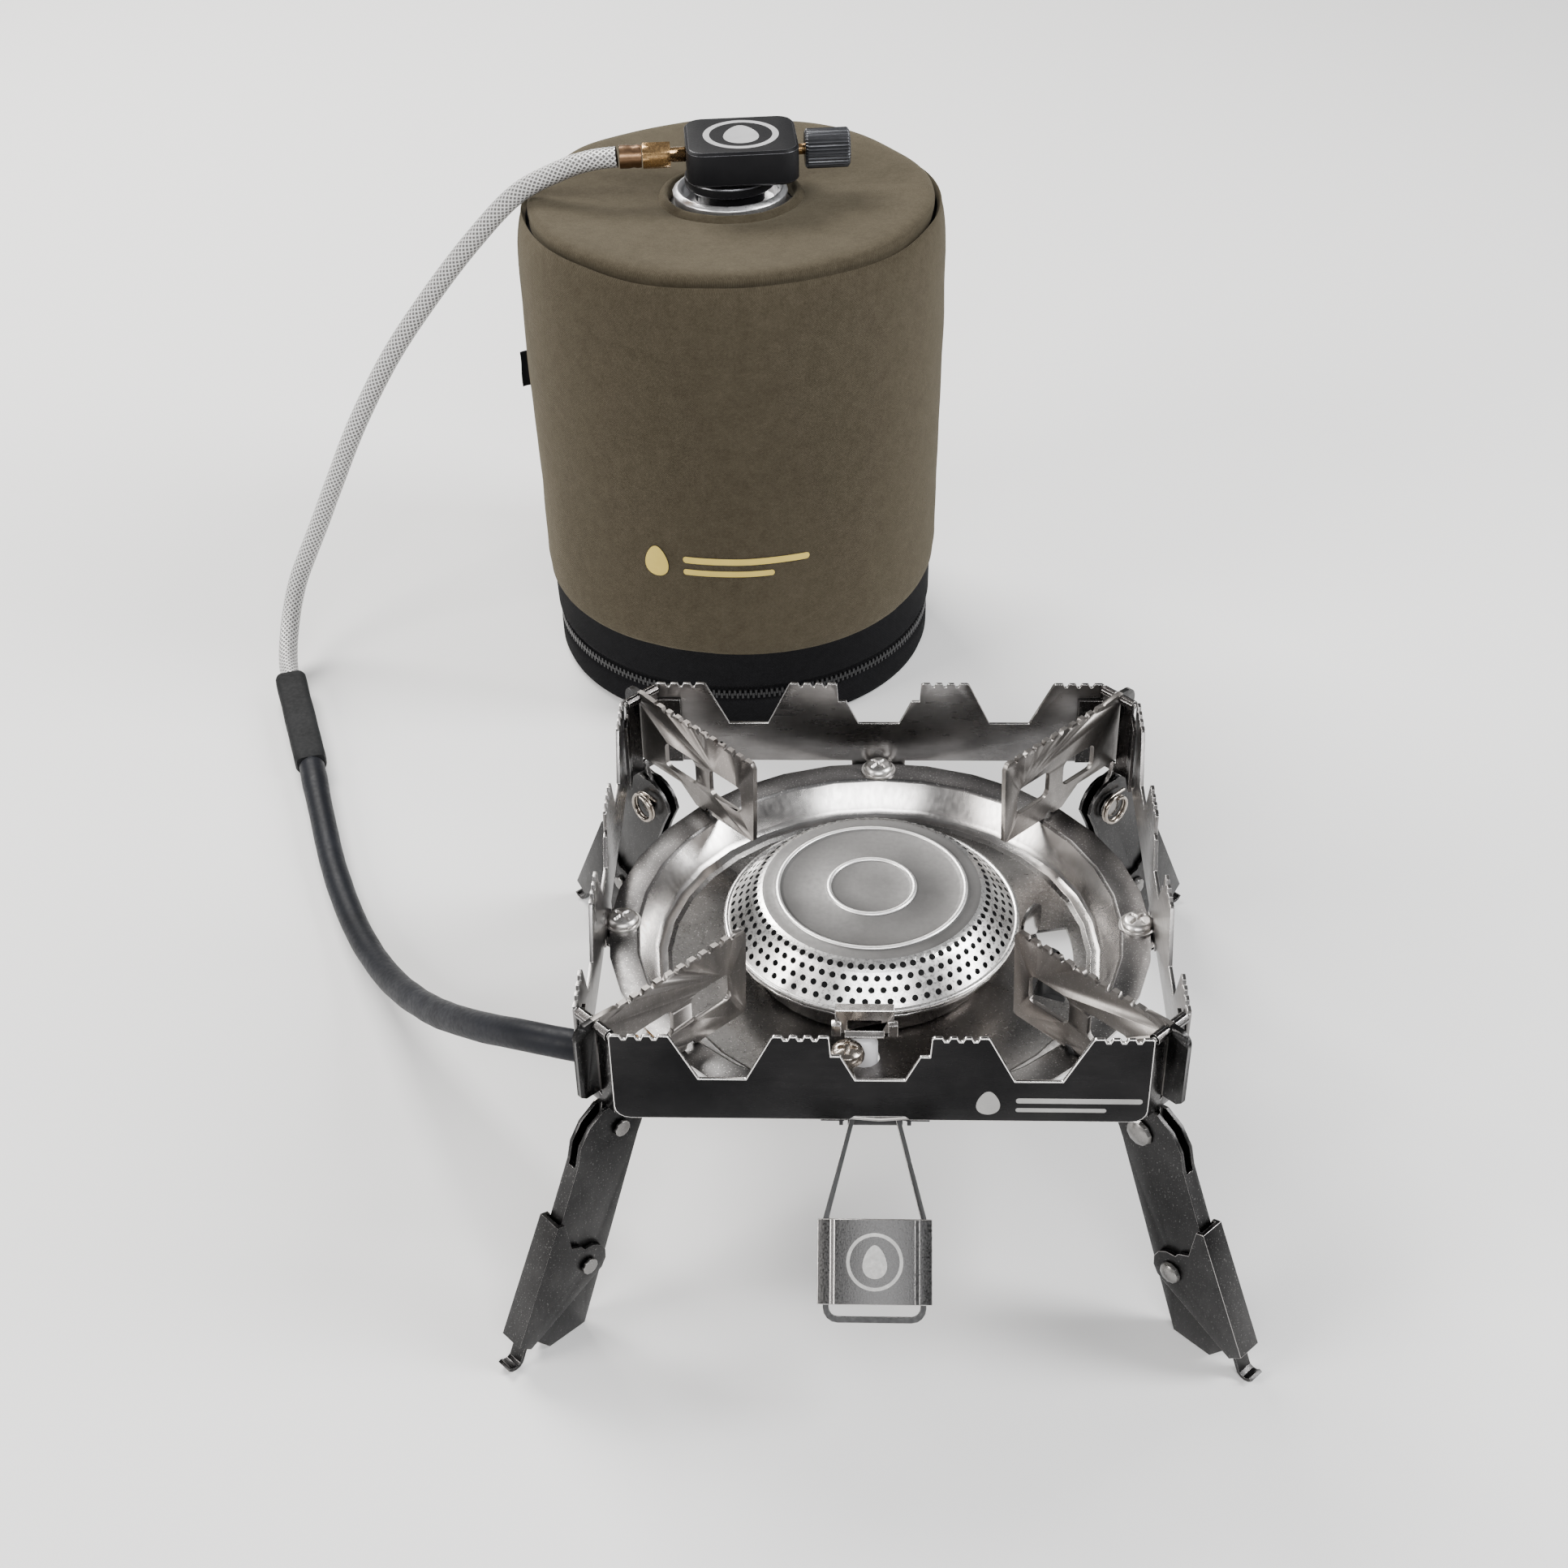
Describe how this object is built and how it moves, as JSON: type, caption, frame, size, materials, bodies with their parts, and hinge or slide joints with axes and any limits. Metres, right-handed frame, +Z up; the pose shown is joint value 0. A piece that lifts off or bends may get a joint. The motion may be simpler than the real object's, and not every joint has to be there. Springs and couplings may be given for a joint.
{
  "type": "camping stove",
  "caption": "Low camping stove with a square serrated windscreen, folding legs and hinged pot supports, fed by a braided hose from a gas canister in a padded fabric cover",
  "frame": {"origin": "on the ground, at the middle of the footprint of the stove and canister together", "axes": "+Z up, +Y from the stove towards the canister, +X to the right of someone at the stove's front"},
  "size_m": [0.2611, 0.3582, 0.1579],
  "materials": {
    "steel_sheet": "bright rolled stainless sheet with fine grain",
    "windscreen_steel": "smooth stainless sheet with dark reflections and bright cut edges",
    "fastener_steel": "bright nickel-plated steel",
    "leg_steel": "satin stainless sheet",
    "burner_steel": "matte grey top with a bright perforated cone",
    "burner_bowl_steel": "bright spun stainless",
    "brass": "turned brass",
    "dark_brass": "darkened crimped brass",
    "fuel_pipe_steel": "drawn stainless tube",
    "white_ceramic": "white unglazed ceramic",
    "igniter_plastic": "black moulded plastic",
    "lead_rubber": "dark insulated lead",
    "brushed_plate": "vertically brushed stainless",
    "canister_steel": "silver lacquered steel",
    "cover_fabric": "olive-khaki fine twill over padding",
    "zip_metal": "black painted zip slider",
    "anodised_black": "black anodised aluminium with bright chamfers",
    "knob_grey": "dark grey anodised, fluted",
    "tag_rubber": "matte dark grey",
    "braid_steel": "woven stainless braid",
    "sleeve_rubber": "smooth bluish-black rubber"
  },
  "bodies": {
    "root": {"drip_bowl": "steel_sheet", "burner_head": "burner_steel", "burner_bowl": "burner_bowl_steel", "mixing_tube": "brass", "jet_holder": "brass", "fuel_pipe": "fuel_pipe_steel", "inlet_fitting": "brass", "burner_clip": "burner_bowl_steel", "electrode": "white_ceramic", "electrode_screw": "fastener_steel", "igniter_body": "igniter_plastic", "ignition_lead": "lead_rubber", "handle_bracket": "steel_sheet", "handle_pin": "fastener_steel", "windscreen_back": "windscreen_steel", "windscreen_left": "windscreen_steel", "windscreen_front": "windscreen_steel", "windscreen_right": "windscreen_steel", "corner_plate_fl": "steel_sheet", "support_pin_fl": "fastener_steel", "leg_rivet_fl": "fastener_steel", "corner_plate_fr": "steel_sheet", "support_pin_fr": "fastener_steel", "leg_rivet_fr": "fastener_steel", "corner_plate_br": "steel_sheet", "support_pin_br": "fastener_steel", "leg_rivet_br": "fastener_steel", "corner_plate_bl": "steel_sheet", "support_pin_bl": "fastener_steel", "leg_rivet_bl": "fastener_steel", "gas_canister": "canister_steel", "canister_cover": "cover_fabric", "valve_body": "anodised_black", "valve_collar": "anodised_black", "hose_nut": "brass", "hose_ferrule": "dark_brass", "hose_tag": "tag_rubber", "hose_braid": "braid_steel", "hose_sleeve": "sleeve_rubber"},
    "handle": {"handle_loop": "steel_sheet", "handle_plate": "brushed_plate"},
    "knob": {"control_knob": "knob_grey", "valve_spindle": "brass"},
    "zip": {"zip_slider": "zip_metal"},
    "leg_body_fl": {"leg_fl": "leg_steel", "shoe_rivet_fl": "fastener_steel"},
    "shoe_body_fl": {"shoe_fl": "leg_steel"},
    "support_body_fl": {"pot_support_fl": "steel_sheet"},
    "leg_body_fr": {"leg_fr": "leg_steel", "shoe_rivet_fr": "fastener_steel"},
    "shoe_body_fr": {"shoe_fr": "leg_steel"},
    "support_body_fr": {"pot_support_fr": "steel_sheet"},
    "leg_body_br": {"leg_br": "leg_steel", "shoe_rivet_br": "fastener_steel"},
    "shoe_body_br": {"shoe_br": "leg_steel"},
    "support_body_br": {"pot_support_br": "steel_sheet"},
    "leg_body_bl": {"leg_bl": "leg_steel", "shoe_rivet_bl": "fastener_steel"},
    "shoe_body_bl": {"shoe_bl": "leg_steel"},
    "support_body_bl": {"pot_support_bl": "steel_sheet"}
  },
  "joints": [
    {"name": "leg_fold_fl", "type": "hinge", "parent": "root", "child": "leg_body_fl", "pos_m": [-0.04407, -0.14614, 0.0495], "axis": [0.7071, -0.7071, 0], "range_deg": [0, 95], "stiffness_Nm_per_rad": 0.02, "springref_deg": -28.65},
    {"name": "shoe_rock_fl", "type": "hinge", "parent": "leg_body_fl", "child": "shoe_body_fl", "pos_m": [-0.05276, -0.15484, 0.018], "axis": [0.7071, -0.7071, 0], "range_deg": [-2, 2], "stiffness_Nm_per_rad": 0.05},
    {"name": "support_lift_fl", "type": "hinge", "parent": "root", "child": "support_body_fl", "pos_m": [-0.04612, -0.14819, 0.0789], "axis": [0.7071, -0.7071, 0], "range_deg": [0, 90]},
    {"name": "leg_fold_fr", "type": "hinge", "parent": "root", "child": "leg_body_fr", "pos_m": [0.06483, -0.14614, 0.0495], "axis": [0.7071, 0.7071, 0], "range_deg": [0, 95], "stiffness_Nm_per_rad": 0.02, "springref_deg": -28.65},
    {"name": "shoe_rock_fr", "type": "hinge", "parent": "leg_body_fr", "child": "shoe_body_fr", "pos_m": [0.07352, -0.15484, 0.018], "axis": [0.7071, 0.7071, 0], "range_deg": [-2, 2], "stiffness_Nm_per_rad": 0.05},
    {"name": "support_lift_fr", "type": "hinge", "parent": "root", "child": "support_body_fr", "pos_m": [0.06688, -0.14819, 0.0789], "axis": [0.7071, 0.7071, 0], "range_deg": [0, 90]},
    {"name": "leg_fold_br", "type": "hinge", "parent": "root", "child": "leg_body_br", "pos_m": [0.06483, -0.03724, 0.0495], "axis": [-0.7071, 0.7071, 0], "range_deg": [0, 95], "stiffness_Nm_per_rad": 0.02, "springref_deg": -28.65},
    {"name": "shoe_rock_br", "type": "hinge", "parent": "leg_body_br", "child": "shoe_body_br", "pos_m": [0.07352, -0.02855, 0.018], "axis": [-0.7071, 0.7071, 0], "range_deg": [-2, 2], "stiffness_Nm_per_rad": 0.05},
    {"name": "support_lift_br", "type": "hinge", "parent": "root", "child": "support_body_br", "pos_m": [0.06688, -0.03519, 0.0789], "axis": [-0.7071, 0.7071, 0], "range_deg": [0, 90]},
    {"name": "leg_fold_bl", "type": "hinge", "parent": "root", "child": "leg_body_bl", "pos_m": [-0.04407, -0.03724, 0.0495], "axis": [-0.7071, -0.7071, 0], "range_deg": [0, 95], "stiffness_Nm_per_rad": 0.02, "springref_deg": -28.65},
    {"name": "shoe_rock_bl", "type": "hinge", "parent": "leg_body_bl", "child": "shoe_body_bl", "pos_m": [-0.05276, -0.02855, 0.018], "axis": [-0.7071, -0.7071, 0], "range_deg": [-2, 2], "stiffness_Nm_per_rad": 0.05},
    {"name": "support_lift_bl", "type": "hinge", "parent": "root", "child": "support_body_bl", "pos_m": [-0.04612, -0.03519, 0.0789], "axis": [-0.7071, -0.7071, 0], "range_deg": [0, 90]},
    {"name": "handle_swing", "type": "hinge", "parent": "root", "child": "handle", "pos_m": [0.00948, -0.14839, 0.0537], "axis": [1, 0, 0], "range_deg": [-40, 85]},
    {"name": "knob_turn", "type": "hinge", "parent": "root", "child": "knob", "pos_m": [-0.0039, 0.12051, 0.1526], "axis": [0.9945, 0.1045, 0], "range_deg": [0, 720]},
    {"name": "zip_run", "type": "hinge", "parent": "root", "child": "zip", "pos_m": [-0.03062, 0.11931, 0.01], "axis": [0, 0, -1], "range_deg": [0, 270]}
  ]
}
